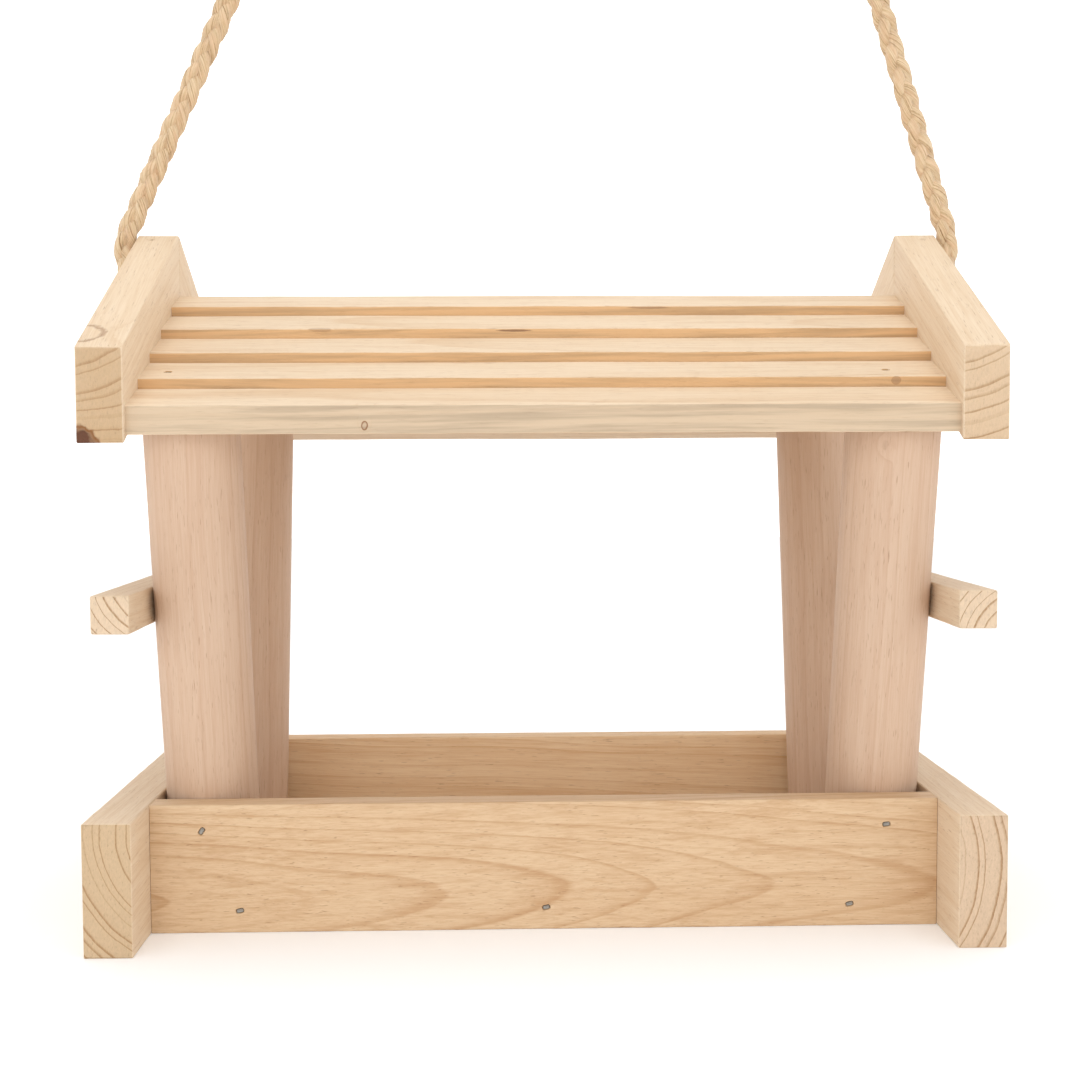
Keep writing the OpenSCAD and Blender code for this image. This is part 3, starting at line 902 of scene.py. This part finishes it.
def upright_sided_outline(node):
    """The corners, in Y and Z, of a CAD bar along X whose front and back are upright."""
    low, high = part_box(node)
    points = [v.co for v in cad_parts[node].data.vertices]
    front = [p.z for p in points if p.y < low[1] + 0.01 * MM]
    back = [p.z for p in points if p.y > high[1] - 0.01 * MM]
    return [(low[1], min(front)), (high[1], min(back)), (high[1], max(back)), (low[1], max(front))]


# marks in the slats: (centre, radii, darkness, darkness of the rim), in millimetres
SLAT_MARKS = {
    "roof_slat_front_1": [((-58, -88, 171.2), (1.2, 3, 1.7), 0.15, 0.9),
                          ((-57.5, -84.5, 176.8), (2.2, 1.0, 1.0), 0.2, 0.5)],
    "roof_slat_front_2": [((117.4, -68.3, 185.9), (1.5, 0.9, 1.3), 0.35, 0.4)],
    "roof_slat_front_4": [((-9.7, -32.9, 205.6), (7, 0.5, 0.5), 0.7, 0),
                          ((-78.3, -33.4, 206.4), (4.5, 1.3, 1.3), 0.3, 0.3)],
    "roof_slat_front_5": [((40.1, -15.2, 215.3), (9, 0.5, 0.5), 0.45, 0)],
}


def make_slats():
    """The ten slats; their fronts are sawn and darker than their planed tops, and on slats 2 to 5 that darker
    orange is partly painted shade of the steps between slats.
    """
    rng = random.Random("slats")
    for side, sign in (("front", -1), ("rear", 1)):
        for i in range(1, 6):
            node = f"roof_slat_{side}_{i}"
            c = centre_of(node) * 1000
            pith = (rng.uniform(-60, 60), c.y - sign * rng.uniform(8, 40), c.z - rng.uniform(14, 45))
            grain = (1, rng.uniform(-0.03, 0.03), rng.uniform(-0.03, 0.03))
            # the front slat's front is pale; the fronts of slats 2 to 5 get a darker orange that is partly
            # painted shade of the steps
            riser = (208, 184, 155) if i == 1 else (216, 170, 118)
            marks = SLAT_MARKS.get(node, [])
            ring = rng.uniform(3.2, 5.2)
            material = wood(node, "pale", grain, pith, ring, 5, marks, riser=riser, figure=0.8)
            low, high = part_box(node)
            # the ends are pressed a hair into the rails, so that no light shows between
            obj = eased_prism(node + "_wood", upright_sided_outline(node), low[0] - 0.06 * MM,
                              high[0] + 0.06 * MM, along_x, 0.5 * MM, 0.1 * MM, uneven=0.4 * MM, waves=16)
            finish_wood(obj, node, material, "roof_slat")


def rope_hole_cutter(side):
    """A worn hole that the rope comes out of, in the roof rail's outer face."""
    route = ROPE_LEFT if side == "left" else ROPE_RIGHT
    mouth, inner = Vector(route[MOUTH]), Vector(route[0])
    outward = (mouth - inner).normalized()
    circle = [(math.cos(2 * math.pi * k / 32), math.sin(2 * math.pi * k / 32)) for k in range(32)]
    rings = [(4.5 * MM, -9 * MM), (4.5 * MM, -1 * MM), (4.7 * MM, 1.5 * MM), (5.2 * MM, 6 * MM),
             (5.4 * MM, 12 * MM)]
    solid = stacked([([(x * r, y * r) for x, y in circle], height) for r, height in rings])
    verts = placed(solid[0], mouth, outward, Vector((0, 1, 0)))
    return mesh_object("cutter", verts, solid[1])


# marks in the front left rail: a dark knot in its end, an arc on its top and a spot of painted shade in its
# brad's pocket
ROOF_RAIL_MARKS_AND_SHADE = [((-149.2, -88, 165.3), (7.0, 9, 5.8), 1.0, 0.9),
                   ((-149.5, -80, 201.5), (7.5, 9, 4), 0.0, 0.5),
                   # painted shade in the pocket round the ridge brad
                   ((-143.5, -4, 241.7), (1.4, 1.0, 1.2), 0.8, 0.0)]


def make_roof_rails():
    """The four end rails, with the worn holes that the ropes come out of."""
    slope = math.tan(ROOF_PITCH)
    ends = {"left": (197, 165, 127), "right": (213, 184, 151)}
    for end, sign in (("front", -1), ("rear", 1)):
        for side, hand in (("left", -1), ("right", 1)):
            node = f"roof_rail_{end}_{side}"
            low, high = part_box(node)
            marks_and_shade = ROOF_RAIL_MARKS_AND_SHADE if node == "roof_rail_front_left" else []
            # the rings lie nearly flat across the end, rising to the right
            pith = (low[0] * 1000 - 8, sign * 88, 181 + 62)
            grain = (0.02 * hand, 1, -sign * slope)
            material = wood(node, "pale", grain, pith, 3.6, 3, marks_and_shade, ends[side], figure=0.55)
            obj = eased_prism(node + "_wood", upright_sided_outline(node), low[0], high[0], along_x, 0.5 * MM)
            cut(obj, [rope_hole_cutter(side)])
            finish_wood(obj, node, material, "roof_rail")


# marks in the posts: (centre, radii, darkness, darkness of the rim), in millimetres
POST_MARKS = {
    "post_front_left": [((-132, -58, 110), (1.7, 3, 6), 0.3, 0.2)],
    "post_front_right": [((111, -81, 164), (2.2, 4, 2.6), 0.25, 0.3)],
    "post_rear_right": [((116.5, 20, 33), (1.6, 3, 4), 0.4, 0.2)],
}


def make_posts():
    """The four leaning posts."""
    floor_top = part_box("tray_floor")[1][2]
    for end, sign in (("front", -1), ("rear", 1)):
        for side, hand in (("left", -1), ("right", 1)):
            node = f"post_{end}_{side}"
            low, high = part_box(node)
            radius = (high[0] - low[0]) / 2
            x = (high[0] + low[0]) / 2
            # the post's foot and top, from the box of its leaning cylinder
            up = Vector((0, sign * math.sin(POST_LEAN), math.cos(POST_LEAN)))
            foot_y = (low[1] if sign > 0 else high[1]) + sign * radius / math.cos(POST_LEAN)
            foot = Vector((x, foot_y, floor_top))
            pith = (x * 1000 - hand * 7, foot_y * 1000 + sign * 9, 10)
            material = wood(node, "rosy", up, pith, 3.6, 5, POST_MARKS.get(node, []), figure=0.6)
            obj = turned_post(node, foot, up, radius)
            finish_wood(obj, node, material, None)


def turned_post(node, foot, up, radius):
    """A turned post, cut level at its foot and along the slats' underside at its top."""
    seed = Vector([random.Random(node).uniform(0, 40) for _ in range(3)])
    across = Vector((1, 0, 0))
    other = up.cross(across)
    sides = 72
    count = 60
    length = 0.25
    verts = []
    for i in range(count + 1):
        s = -0.02 + length * i / count
        for k in range(sides):
            angle = 2 * math.pi * k / sides
            out = across * math.cos(angle) + other * math.sin(angle)
            here = foot + up * s + out * radius
            dent = 0.12 * MM * (0.5 + 0.5 * noise.noise(here * 38 + seed))
            verts.append(foot + up * s + out * (radius - dent))
    faces = [[i * sides + k, i * sides + (k + 1) % sides, (i + 1) * sides + (k + 1) % sides,
              (i + 1) * sides + k] for i in range(count) for k in range(sides)]
    faces.append(list(reversed(range(sides))))
    faces.append([count * sides + k for k in range(sides)])
    obj = mesh_object(node + "_wood", verts, faces)
    bm = bmesh.new()
    bm.from_mesh(obj.data)
    points = [v.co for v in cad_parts[node].data.vertices]
    sign = 1 if foot.y > 0 else -1
    roof_normal = Vector((0, sign * math.sin(ROOF_PITCH), math.cos(ROOF_PITCH)))
    roof_point = max(points, key=lambda p: p.dot(roof_normal))
    for point, normal in ((foot, Vector((0, 0, -1))), (roof_point, roof_normal)):
        cut_faces = bmesh.ops.bisect_plane(bm, geom=bm.verts[:] + bm.edges[:] + bm.faces[:],
                                           plane_co=point, plane_no=normal, clear_outer=True)
        edges = [e for e in cut_faces["geom_cut"] if isinstance(e, bmesh.types.BMEdge)]
        bmesh.ops.contextual_create(bm, geom=edges)
    bm.to_mesh(obj.data)
    bm.free()
    tidy_mesh(obj.data)
    return obj


make_tray()
make_perches()
make_slats()
make_roof_rails()
make_posts()


# --- floor and light ---

def stage_material(name, glow):
    """Matt white paint that glows a little, as a lit studio background does."""
    material = bpy.data.materials.new(name)
    material.use_nodes = True
    n = Nodes(material.node_tree)
    shader = material.node_tree.nodes["Principled BSDF"]
    shader.inputs["Roughness"].default_value = 0.9
    shader.inputs["Specular IOR Level"].default_value = 0.1
    shader.inputs["Emission Color"].default_value = (1, 1, 1, 1)
    shader.inputs["Emission Strength"].default_value = glow
    speckle = n.noise(n.add("ShaderNodeTexCoord").outputs["Object"], 3.0, 2)
    colour = n.mix(speckle, (0.93, 0.93, 0.93, 1), (0.95, 0.95, 0.95, 1))
    material.node_tree.links.new(colour, shader.inputs["Base Color"])
    return material


def make_floor():
    """A pale studio floor that curves up into a wall all round, far from the feeder."""
    flat, curve, sides = 2.4, 1.2, 64
    wall = [(flat, 0)]
    angles = [math.radians(degrees) for degrees in range(10, 91, 10)]
    wall += [(flat + curve * math.sin(a), curve * (1 - math.cos(a))) for a in angles]
    wall.append((flat + curve, 2.6))
    for name, profile, glow in (("studio_floor", [(0.002, 0), (0.8, 0), (flat, 0)], 0.12),
                                ("studio_wall", wall, 0.44)):
        verts = [(r * math.cos(2 * math.pi * k / sides), r * math.sin(2 * math.pi * k / sides), z)
                 for r, z in profile for k in range(sides)]
        faces = [[i * sides + k, (i + 1) * sides + k, (i + 1) * sides + (k + 1) % sides,
                  i * sides + (k + 1) % sides] for i in range(len(profile) - 1) for k in range(sides)]
        if name == "studio_floor":
            faces.append(list(range(sides)))
        mesh_object(name, verts, faces, stage_material(name, glow))


def make_light(name, place, target, size, power):
    """A round soft light that faces target."""
    data = bpy.data.lights.new(name, "AREA")
    data.shape = "DISK"
    data.size = size
    data.energy = power
    light = bpy.data.objects.new(name, data)
    light.location = place
    light.rotation_euler = (Vector(target) - Vector(place)).to_track_quat("-Z", "Y").to_euler()
    bpy.context.scene.collection.objects.link(light)


def make_lights():
    """White surroundings, a wide soft light overhead and a weaker one from the front."""
    bpy.context.scene.view_settings.view_transform = "Standard"
    world = bpy.data.worlds.new("studio")
    bpy.context.scene.world = world
    world.use_nodes = True
    world.node_tree.nodes["Background"].inputs["Color"].default_value = (1, 1, 1, 1)
    world.node_tree.nodes["Background"].inputs["Strength"].default_value = 0.55
    aim = (0, 0, 0.12)
    make_light("overhead", (0, -0.1, 1.8), aim, 1.4, 13)
    make_light("front", (-0.3, -2.1, 0.75), aim, 1.6, 4)


make_floor()
make_lights()
